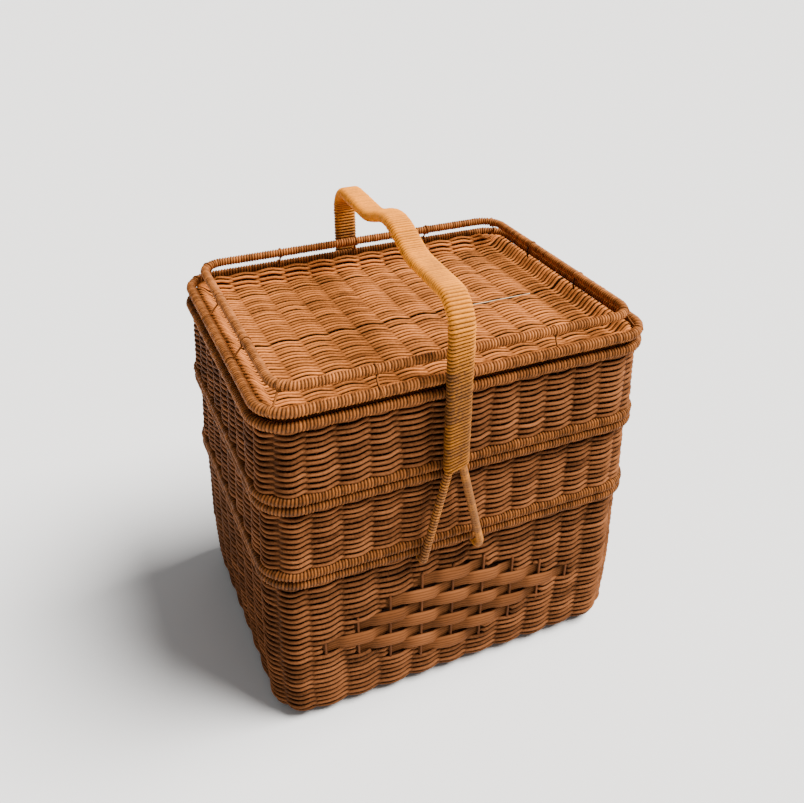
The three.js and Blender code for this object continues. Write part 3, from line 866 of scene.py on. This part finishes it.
def build_rail(rail, body, pitch=3.2, uneven=0.1, shade=LOW_RAIL_PAINTED_SHADE):
    """A wound rail: the groove between the turns runs round it as a helix."""
    turns = round(rail.plan.length / pitch)
    count = turns * TURN_STEPS
    i = np.arange(count)[:, None]
    j = np.arange(TURN_SIDES)
    jitter = np.cumsum(rng.normal(0, TURN_DRIFT * uneven, turns))
    jitter = jitter - np.linspace(0, 1, turns) * jitter[-1]
    offset = np.interp(np.arange(count) / TURN_STEPS, np.arange(turns), jitter)[:, None]
    along = (i / TURN_STEPS + j / TURN_SIDES) / turns * rail.plan.length + offset
    bead = turn_profile((i % TURN_STEPS) / TURN_STEPS)
    size = rng.normal(0, uneven, turns)[i // TURN_STEPS]
    radius = rail.radius + RAIL_PROUD - TURN_DEPTH * (1 - bead) + size * bead
    flat, out = rail.plan.at(along)
    angle = j / TURN_SIDES * tau
    points = np.empty((count, TURN_SIDES, 3))
    points[..., :2] = flat + out * (radius * np.cos(angle))[..., None]
    points[..., 2] = rail.z + radius * np.sin(angle)
    tone = rng.random(turns)[i // TURN_STEPS]
    skin = Skin()
    # Painted shade in the grooves, and painted light or shade on the whole rail
    skin.lattice(points, tone, True, shade * groove_shade(bead, reach=RAIL_GROOVE_REACH))
    join_helix(skin, count)
    skin.finish(f"{rail.node}_winding", rim_cane, body, [rail.node], TURN_MAP_SHAPE)


def join_helix(skin, count):
    """Joins the last side of each ring to the first side of the ring one turn further on."""
    quads = skin.faces[0].reshape(count, TURN_SIDES, 4)
    last = quads[:, -1]
    last[:, 1:3] = (last[:, 1:3] + TURN_STEPS * TURN_SIDES) % (count * TURN_SIDES)
    skin.faces[0] = quads.reshape(-1, 4)


# Panels: rows of twined strands across stakes, with the panel's own height


@dataclass
class Panel:
    """A twined panel: rows run along X, and height gives its middle surface. Over the last end_w of a row
    its two strands grow thinner and lie side by side."""

    plan: Plan
    inset: float
    height: Callable
    rows: np.ndarray
    stake_pitch: float
    stake_shift: float = 0
    end_w: float = 0

    def reach(self, y):
        """Half the width at y."""
        corner = self.plan.corner - self.inset
        into_corner = max(0, abs(y) - self.plan.run_y)
        if into_corner >= corner:
            return 0
        return self.plan.run_x + sqrt(corner ** 2 - into_corner ** 2)

    def surface(self, x, y):
        """Points and upward directions on the middle surface."""
        z = self.height(x, y)
        step = SLOPE_STEP
        slope_x = (self.height(x + step, y) - self.height(x - step, y)) / (2 * step)
        slope_y = (self.height(x, y + step) - self.height(x, y - step)) / (2 * step)
        up = unit(np.stack([-slope_x, -slope_y, np.ones_like(z)], -1))
        return np.stack([x, y, z], -1), up

    def end(self, x, reach):
        """How far a row has turned into its end, from 0 to 1."""
        return smooth((np.abs(x) - reach + self.end_w) / END_TURN_W)

    def weave(self, skin, swing, sag, half_out, half_up, samples):
        for y in self.rows:
            reach = self.reach(y)
            if reach < self.stake_pitch / 2:
                continue
            x = np.arange(-reach, reach, self.stake_pitch / samples)
            bays = (x - self.stake_shift) / self.stake_pitch
            pushes = rng.normal(1, PANEL_PUSH_SPREAD, PANEL_PUSHES)
            push = pushes[np.mod(np.floor(bays), PANEL_PUSHES).astype(int)]
            centre, up = self.surface(x, np.full_like(x, y) + rng.normal(0, ROW_SPREAD))
            across = unit(np.cross(up, [1, 0, 0]))
            end = self.end(x, reach)
            thin = half_up * mix(1, END_THIN, end)
            for which in range(2):
                out, rise, shade = twine(np.mod(bays + which, 2), swing, sag, PANEL_ROW_PITCH)
                out = np.where(out > 0, out * push, out) * (1 - end)
                apart = END_APART * PANEL_ROW_PITCH * (1 if which else -1)
                points = centre + up * out[:, None] - across * mix(rise, apart, end)[:, None]
                tone = slow_tone(len(points))
                skin.tube(points, up, half_out, thin, tone=tone, shade=mix(shade, 1, end))

    def filler(self, skin):
        """Flat straight strands in painted shade between the rows, nearly black in the seam and at the ends.
        """
        for y, following in zip(self.rows[:-1], self.rows[1:]):
            middle = (y + following) / 2
            reach = self.reach(middle)
            if reach < self.stake_pitch / 2:
                continue
            x = np.linspace(-reach, reach, LID_FILLER_SAMPLES)
            centre, up = self.surface(x, np.full_like(x, middle))
            near, _ = self.surface(x, np.full_like(x, y))
            far, _ = self.surface(x, np.full_like(x, following))
            dark = SEAM_SHADE if following - y > SEAM_GAP else FILLER_SHADE
            shade = mix(dark, END_FILLER_SHADE, self.end(x, reach))
            add_filler(skin, centre + up * FILLER_OUT, up, np.linalg.norm(far - near, axis=1), shade)

    def stakes(self, skin, radius):
        reach_y = self.plan.half_y - self.inset
        count = int(self.plan.half_x / self.stake_pitch) + 2
        for number in range(-count, count + 1):
            x = self.stake_shift + (number + 0.5) * self.stake_pitch
            y = np.linspace(-reach_y, reach_y, PANEL_SAMPLES)
            y = y[[self.reach(v) > abs(x) for v in y]]
            if len(y) >= MIN_RUN:
                add_stake(skin, *self.surface(np.full_like(y, x), y), radius)


def lid_rows(height):
    """Where the lid's rows lie: closer on the slopes, wider towards the back, and parted at the seam."""
    half = lid_rim.plan.half_y
    fine = np.arange(-half, half, LID_WALK_STEP)
    walked = distances_along(np.stack([fine, height(0 * fine, fine)], -1))
    place = np.interp(-half + LID_BORDER_IN + LID_STRAND_UP, fine, walked)
    last = np.interp(half - LID_BORDER_IN - LID_STRAND_UP / 2, fine, walked)
    rows = []
    while place < last:
        y = np.interp(place, walked, fine)
        rows.append(y)
        step = PANEL_ROW_PITCH
        if half - abs(y) < LID_SIDE_W + LID_BORDER_IN:
            step = LID_SLOPE_PITCH
        elif y > half - LID_BACK_W:
            step = LID_BACK_PITCH
        if abs(y - LID_SEAM_Y) < PANEL_ROW_PITCH / 2:
            step += LID_SEAM_W
        place += step
    return np.array(rows)


def build_lid_panel():
    """The dished panel: its rows turn up at the sides and end under the lid's rail."""
    _, high = node_box("lid_panel")
    reach = LID_SWING + LID_STRAND_OUT
    dish_z = LID_CREST_Z - reach
    edge_z = high[2] - reach + LID_EDGE_LIFT

    def height(x, y):
        side = smooth((LID_DISH_IN - lid_rim.plan.depth(x, y)) / LID_SIDE_W)
        return mix(dish_z, edge_z, side)

    rows = lid_rows(height)
    panel = Panel(lid_rim.plan, LID_BORDER_IN, height, rows, LID_STAKE_PITCH, LID_STAKE_SHIFT, LID_END_W)
    skin = Skin()
    panel.weave(skin, LID_SWING, LID_SAG, LID_STRAND_OUT, LID_STRAND_UP, LID_SAMPLES)
    skin.finish("lid_weave", lid_cane_lit, "lid", ["lid_panel"])
    stakes = Skin(THIN_SIDES)
    panel.stakes(stakes, LID_STAKE_R)
    panel.filler(stakes)
    stakes.finish("lid_stakes", stake_cane, "lid")
    build_pale_strand(panel)


def build_pale_strand(panel):
    """A pale strand that lies in the gap between two rows, on the right of the handle."""
    gaps = (panel.rows[1:] + panel.rows[:-1]) / 2
    gap = gaps[np.argmin(np.abs(gaps - PALE_Y))]
    x = np.linspace(*PALE_X, PALE_SAMPLES)
    centre, up = panel.surface(x, np.full_like(x, gap))
    skin = Skin(THIN_SIDES)
    skin.tube(centre + up * PALE_OUT, up, PALE_R, PALE_R, tone=0.7)
    skin.finish("lid_pale_strand", pale_cane, "lid")


def build_lid_skirt():
    """Rows that close the lid's edge under its rail, set back."""
    plan = Plan(lid_rim.plan.half_x - SKIRT_IN, lid_rim.plan.half_y - SKIRT_IN, LID_CORNER - SKIRT_IN)
    walked = np.linspace(0, plan.length, SKIRT_SAMPLES, endpoint=False)
    flat, out = plan.at(walked)
    ripple = SKIRT_RIPPLE * np.sin(walked / LID_STAKE_PITCH * tau)
    skin = Skin()
    for z in SKIRT_ROWS:
        points = at_height(flat + out * ripple[:, None], z)
        facing = at_height(out, 0)
        # Painted shade under the lid's rail
        skin.tube(points, facing, SKIRT_R, SKIRT_R, closed=True, tone=0.3, shade=0.6)
    skin.finish("lid_skirt", lid_cane_lit, "lid")
    build_ties(plan)


def build_ties(plan):
    """The ends of ties that show on the lid's skirt."""
    skin = Skin(THIN_SIDES)
    for number in range(round(plan.length / TIE_PITCH)):
        place = (number + rng.uniform(-TIE_SPREAD, TIE_SPREAD)) * TIE_PITCH
        at, away = plan.at(np.array([place, place + TIE_SLANT]))
        high = np.array([*(at[0] + away[0] * SKIRT_R), SKIRT_ROWS[-1] + TIE_OVER])
        low = np.array([*(at[1] + away[1] * (SKIRT_R + TIE_OUT)), SKIRT_ROWS[0] + TIE_SHORT])
        line = mix(high, low, np.linspace(0, 1, TIE_SAMPLES)[:, None])
        skin.tube(line, [*away[0], 0], TIE_R, TIE_R, tone=rng.random())
    skin.finish("lid_ties", rim_cane, "lid")


def build_floor(node, body, plan, inset, rise, half_out):
    """A flat panel, a rise above its node's underside. It lies in the dark, so one even painted shade
    does for it.
    """
    low, _ = node_box(node)
    first = -plan.half_y + inset + FLOOR_FIRST_ROW
    rows = np.arange(first, plan.half_y - inset - FLOOR_LAST_ROW, FLOOR_ROW_PITCH)
    panel = Panel(plan, inset, lambda x, y: low[2] + rise + 0 * (x + y), rows, FLOOR_STAKE_PITCH)
    skin = Skin(THIN_SIDES)
    panel.weave(skin, half_out=half_out, **FLOOR_WEAVE)
    panel.stakes(skin, half_out * FLOOR_STAKE_SHARE)
    # One even painted shade
    skin.shades = [np.full_like(shade, FLOOR_SHADE) for shade in skin.shades]
    skin.finish(f"{node}_weave", tray_cane, body, [node])


# Band of flat strips


def build_strip(row, mid_y):
    """One strip: it passes before and behind the stakes in turn, and stays behind past its last window."""
    parity = 1 if row % 2 == 0 else -1
    last = HALF_STAKES - abs(row)
    half = last + STRIP_END
    bays = np.linspace(-half, half, 1 + 2 * round(half * BAY_SAMPLES))
    past = np.clip((np.abs(bays) - last) / STRIP_END, 0, 1)
    wave = -parity * np.cos(pi * np.clip(bays, -last, last))
    out = STRIP_SWING * np.sign(wave) * np.abs(wave) ** STRIP_FLANK - STRIP_TUCK * past
    front = smooth(wave / 2 + 0.5)
    height = BAND_ROW_H / 2 * (1 + STRIP_SPREAD * wave) * (1 - STRIP_TAPER * past)
    slope = np.where(past > 0, 0, np.sin(pi * bays)) * parity
    z = BAND_MID_Z + row * BAND_ROW_H + STRIP_LIFT * slope + STRIP_HIGH * (1 - front)
    middle = np.stack([HANDLE_X + bays * bay_width, mid_y - out, z], -1)
    tone = slow_tone(len(bays))[:, None]
    # Painted shade behind the stakes and in the valleys between the ribs
    shade = mix(STRIP_BACK_SHADE, 1, front)[:, None]
    across = np.linspace(0, STRIP_RIBS, STRIP_POINTS)
    lines = mix(STRIP_LINE_SHADE, 1, smooth(STRIP_LINE_GAIN * np.abs(np.sin(pi * across))))
    shade = shade * np.concatenate([lines, lines[::-1]])
    skin = Skin()
    skin.lattice(strip_rings(middle, height, front), tone, False, shade)
    node = f"band_strip_{row + HALF_ROWS + 1}"
    skin.finish(f"{node}_cane", strip_cane, BASKET, [node])


def strip_rings(middle, height, front):
    """Sections of a flat strip: crowned, with ribs along its front."""
    across = np.linspace(-1, 1, STRIP_POINTS)
    level = STRIP_CROWN * ((1 - across ** 2) * mix(STRIP_BACK_CROWN, 1, front[:, None]) - 0.5)
    rib = STRIP_RIB_H * np.abs(np.sin(pi * STRIP_RIBS * (across + 1) / 2))
    edge = STRIP_T / 2 * np.sqrt(np.maximum(STRIP_EDGE_MIN, 1 - np.abs(across) ** STRIP_EDGE_POWER))
    out = np.concatenate([level + edge + rib, (level - edge)[:, ::-1]], 1)
    up = np.concatenate([across, across[::-1]]) * height[:, None]
    return middle[:, None] + np.stack([0 * out, -out, up], -1)


def build_band():
    low, high = node_box("band_strip_4")
    mid_y = (low[1] + high[1]) / 2
    for row in range(-HALF_ROWS, HALF_ROWS + 1):
        build_strip(row, mid_y)
    for number in range(-HALF_STAKES, HALF_STAKES + 1):
        node = f"band_stake_{number + HALF_STAKES + 1}"
        low, high = node_box(node)
        z = np.linspace(low[2] - BAND_STAKE_OVER, high[2] + BAND_STAKE_OVER, BAND_STAKE_SAMPLES)
        x = np.full_like(z, HANDLE_X + number * bay_width)
        line = np.stack([x, np.full_like(z, mid_y), z], -1)
        skin = Skin()
        # Painted shade on the band's stakes
        skin.tube(line, [0, -1, 0], BAND_STAKE_R, BAND_STAKE_R, tone=rng.random(), shade=0.8)
        skin.finish(f"{node}_cane", stake_cane, BASKET, [node])


# Gallery posts: a thin cane that loops round the gallery rail and is tied at the lid's rail


def loop_points(centre, axis, start, radius, turns, spread):
    """Points round an axis, beginning at a direction and moving along the axis."""
    side = np.cross(axis, start)
    angle = np.linspace(0, turns * tau, int(LOOP_SAMPLES * turns) + 1)[:, None]
    radial = start * np.cos(angle) + side * np.sin(angle)
    return centre + radial * radius + axis * spread * (angle / angle[-1] - 0.5), radial


def build_posts():
    """The posts. Those on the right side also have the hanging tail of their lashing."""
    stem = np.linspace(0, 1, POST_SAMPLES)[:, None]
    bow = np.sin(stem * pi)
    loop_r = gallery.radius + LOOP_OFF * POST_R
    lash_r = lid_rim.radius + LOOP_OFF * POST_R
    for number in range(1, POSTS + 1):
        node = f"gallery_post_{number:02d}"
        low, high = node_box(node)
        walked = gallery.plan.nearest((low + high)[:2] / 2)
        flat, out = gallery.plan.at(np.array([walked]))
        top = at_height(flat, gallery.z)[0]
        away = at_height(out, 0)[0]
        along = np.array([-away[1], away[0], 0])
        foot = top + away * lid_rim.plan.depth(top[0], top[1])
        foot[2] = lid_rim.z
        lean = unit(foot - top)
        skin = Skin()
        loop, loop_out = loop_points(top, along, lean, loop_r, LOOP_TURNS, LOOP_SPREAD)
        skin.tube(loop, loop_out, POST_R, LOOP_FLAT * POST_R)
        lash, lash_out = loop_points(foot, along, -lean, lash_r, LASH_TURNS, LASH_SPREAD)
        skin.tube(lash, lash_out, POST_R, POST_R, tone=0.6)
        if away[0] > TAIL_SIDE:
            tail = top - away * (loop_r + TAIL_BOW * bow) - stem * TAIL_LENGTH * np.array([0, 0, 1])
            # The tail is drawn dark through its shade
            skin.tube(tail, along, POST_FLAT * POST_R, POST_R, tone=0, shade=0.4)
        reach = np.linalg.norm(foot - top) - loop_r - lid_rim.radius + POST_OVER
        line = top + lean * (loop_r + stem * reach) + along * bow * rng.normal(0, POST_BOW)
        skin.tube(line, along, POST_FLAT * POST_R, POST_R, tone=0.9)
        skin.finish(f"{node}_cane", rim_cane, "lid", [node])


# Handle


wrap_low, wrap_high = node_box("handle_wrap")
wrap_half_w = ROD_SPACING + WRAP_HALF_T
leg_y = wrap_high[1] - WRAP_HALF_T
arch_z = wrap_high[2] - HUMP - WRAP_HALF_T


def handle_x(y):
    """The middle of the handle at y: it stands a little askew."""
    return HANDLE_X + HANDLE_ASKEW / (2 * leg_y) * y


def handle_path(end_z):
    """Points [y, z] up the front leg, over the shoulders and the hump, and down the back leg."""
    shoulder = np.linspace(0, pi / 2, SHOULDER_SAMPLES)
    shoulder_y = -leg_y + SHOULDER_R * (1 - np.cos(shoulder))
    shoulder_z = arch_z - SHOULDER_R * (1 - np.sin(shoulder))
    hump_y = np.linspace(-HUMP_HALF, 0, HUMP_SAMPLES)
    hump_z = arch_z + HUMP * (1 + np.cos(pi * hump_y / HUMP_HALF)) / 2
    half = np.stack([[-leg_y, *shoulder_y, *hump_y], [end_z, *shoulder_z, *hump_z]], -1)
    return np.concatenate([half, half[-2::-1] * [-1, 1]])


def stadium(sides, half_w, half_t):
    """A flat oval with round ends: its points and outward directions, evenly round it."""
    straight = 2 * (half_w - half_t)
    arc = pi * half_t
    total = 2 * (straight + arc)
    walked = (np.arange(sides) + 0.5) / sides * total
    end = np.where(walked < total / 2, 1, -1)[:, None]
    t = walked % (total / 2)
    angle = np.minimum(t, arc) / half_t - pi / 2
    normals = np.stack([np.cos(angle), np.sin(angle)], -1)
    middle = np.stack([straight / 2 - np.maximum(0, t - arc), 0 * t], -1)
    return end * (middle + normals * half_t), end * normals


def turn_rings(length, pitch):
    """Rings along a winding: their distances, their height from 0 in a groove to 1 on a crest, the
    numbers of their turns, and the count of turns."""
    turns = round(length / pitch)
    i = np.arange(turns * TURN_STEPS + 1)
    bead = turn_profile((i % TURN_STEPS) / TURN_STEPS)
    return i / (turns * TURN_STEPS) * length, bead, i // TURN_STEPS, turns


def handle_tone_and_painted_light(arch, chance):
    """Darker on the legs, where arch is 0, than on the arch, where it is 1: painted shade on the legs and
    painted light on the arch, with some random tone.
    """
    return mix(LEG_SHADED_TONE, ARCH_LIT_TONE, arch) + TONE_SPREAD * (chance - 0.5)


def build_handle():
    """The winding. Its turns slant on the front leg, and the lowest reach down past the path's start."""
    line = handle_path(wrap_low[2])
    lengths = distances_along(line)
    along, bead, turn, turns = turn_rings(lengths[-1], WRAP_PITCH)
    shape, normals = stadium(WRAP_SIDES, wrap_half_w, WRAP_HALF_T)
    low, high = WRAP_SLANT_ENDS
    slant = WRAP_SLANT * (1 - smooth((along - low) / (high - low)))
    slant = slant + WRAP_END_SLANT * np.exp(-along / WRAP_END_REACH)
    size = rng.normal(0, WRAP_UNEVEN, turns + 1)[turn]
    fall = WRAP_DEPTH * (1 - bead) - size * bead
    w, t = np.moveaxis(shape - normals * fall[:, None, None], -1, 0)
    walked = np.clip(along[:, None] + slant[:, None] * w, -WRAP_OVERRUN, lengths[-1])
    place = line_at(walked, lengths, line)
    way = unit(line_at(walked + 1, lengths, line) - line_at(walked - 1, lengths, line))
    points = np.empty((len(along), WRAP_SIDES, 3))
    points[..., 1] = place[..., 0] - way[..., 1] * t
    points[..., 2] = place[..., 1] + np.minimum(walked, 0) + way[..., 0] * t
    points[..., 0] = handle_x(points[..., 1]) + w
    # Painted light on the arch and painted shade on the legs, in tone and groove width
    arch = smooth((points[..., 2] - LEG_TOP_Z) / (arch_z - LEG_TOP_Z))
    tone = handle_tone_and_painted_light(arch, rng.random(turns + 1)[turn][:, None])
    shade = groove_shade(bead[:, None], reach=mix(LEG_GROOVE_REACH, ARCH_GROOVE_REACH, arch))
    skin = Skin()
    skin.lattice(points, tone, False, shade)
    nodes = ["handle_wrap"]
    skin.finish("handle_winding", handle_cane, BASKET, nodes, WRAP_MAP_SHAPE)


def rod_leg(side, face):
    """The splayed foot of a rod: in the wall, round under the rim and up into the wrap."""
    hook_z = bottom_rim.z - bottom_rim.radius - ROD_CLEARANCE - ROD_R
    bend_y = leg_y - ROD_BEND_R
    angle = np.radians(np.arange(0, 91, ROD_BEND_STEP))
    bend = bend_y + ROD_BEND_R * np.sin(angle)
    rise = hook_z + ROD_BEND_R * (1 - np.cos(angle))
    x = side * np.array([ROD_SPLAY] * (len(angle) + 1) + [ROD_SPACING] * 2)
    y = face * np.array([bend_y - ROD_BEND_R, *bend, leg_y, leg_y])
    z = [hook_z, *rise, wrap_low[2] - ROD_BELOW_WRAP, wrap_low[2] + ROD_INTO_WRAP]
    return np.stack([x + handle_x(y), y, z], -1)


def build_rod_windings():
    """The left rod's binding shows its turns, and the right rod's is nearly smooth."""
    for side, side_name, depth in ((-1, "left", BOUND_DEPTH), (1, "right", SMOOTH_DEPTH)):
        for face, face_name in ((-1, "front"), (1, "back")):
            corners = rod_leg(side, face)
            lengths = distances_along(corners)
            along, bead, turn, turns = turn_rings(lengths[-1], ROD_PITCH)
            radius = ROD_R + ROD_PROUD - depth * (1 - bead)
            rings, _, _ = oval_rings(line_at(along, lengths, corners), [1, 0, 0], radius, radius, TURN_SIDES)
            # The rods take the legs' tone, in painted shade
            tone = handle_tone_and_painted_light(0, rng.random(turns + 1)[turn])[:, None]
            skin = Skin()
            skin.lattice(rings, tone, False, groove_shade(bead, 1 - depth)[:, None])
            name = f"rod_winding_{side_name}_{face_name}"
            skin.finish(name, handle_cane, BASKET, (), TURN_MAP_SHAPE)


def darken_rods():
    """The frame's rods and core stay inside the windings, in a dark cane that stands in for the shadow in the
    grooves: painted shadow.
    """
    for node in ("handle_rod_left", "handle_rod_right", "handle_core"):
        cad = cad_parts[node]
        cad.data.materials.clear()
        cad.data.materials.append(rod_painted_shadow)


# Stage, light and camera


def build_stage():
    bpy.ops.mesh.primitive_plane_add(size=STAGE_SIZE, location=(0, 0, 0))
    floor = bpy.context.object
    floor.name = "stage_floor"
    material = bpy.data.materials.new("stage_white")
    material.use_nodes = True
    shader = material.node_tree.nodes["Principled BSDF"]
    set_sockets(shader, {"Base Color": STAGE_COLOR, "Roughness": STAGE_ROUGH})
    floor.data.materials.append(material)


def build_light():
    key = bpy.data.lights.new("key_light", "SUN")
    key.energy = KEY_POWER
    key.angle = radians(KEY_ANGLE)
    key.color = KEY_COLOR
    key_object = add_object("key_light", key)
    key_object.rotation_euler = (-Vector(KEY_FROM)).to_track_quat("-Z", "Y").to_euler()
    world = bpy.data.worlds.new("studio")
    bpy.context.scene.world = world
    world.use_nodes = True
    set_sockets(world.node_tree.nodes["Background"], {"Color": (1, 1, 1, 1), "Strength": SKY_POWER})


def build_camera():
    yaw, pitch, roll = map(radians, CAMERA_TURN)
    forward = Vector((sin(yaw) * cos(pitch), cos(yaw) * cos(pitch), -sin(pitch)))
    level = Vector((cos(yaw), -sin(yaw), 0))
    above = level.cross(forward)
    right = level * cos(roll) + above * sin(roll)
    up = right.cross(forward)
    camera = bpy.data.cameras.new("camera")
    camera.lens = CAMERA_LENS
    camera.sensor_fit = "HORIZONTAL"
    camera_object = add_object("camera", camera)
    turn = Matrix((right, up, -forward)).transposed().to_4x4()
    camera_object.matrix_world = Matrix.Translation(Vector(CAMERA_AT) * MM) @ turn
    bpy.context.scene.camera = camera_object


build_camera()
build_light()
build_stage()
build_bottom_wall()
build_tray_wall("middle", middle_foot, middle_rim)
build_tray_wall("upper", upper_foot, upper_rim)
build_rail(bottom_rim, BASKET)
build_rail(middle_foot, "middle_tray", uneven=FOOT_UNEVEN)
build_rail(middle_rim, "middle_tray")
build_rail(upper_foot, "upper_tray", uneven=FOOT_UNEVEN)
build_rail(upper_rim, "upper_tray", shade=1)
build_rail(lid_rim, "lid", shade=LID_RIM_PAINTED_LIGHT)
build_rail(gallery, "lid", GALLERY_PITCH, shade=GALLERY_PAINTED_LIGHT)
build_lid_panel()
build_lid_skirt()
build_floor("bottom_floor", BASKET, bottom_rim.plan, BASE_FLOOR_IN, BASE_FLOOR_RISE, BASE_FLOOR_OUT)
for name, foot in (("middle", middle_foot), ("upper", upper_foot)):
    build_floor(f"{name}_floor", f"{name}_tray", foot.plan, TRAY_FLOOR_IN, TRAY_FLOOR_RISE, TRAY_FLOOR_OUT)
build_band()
build_posts()
build_handle()
build_rod_windings()
darken_rods()
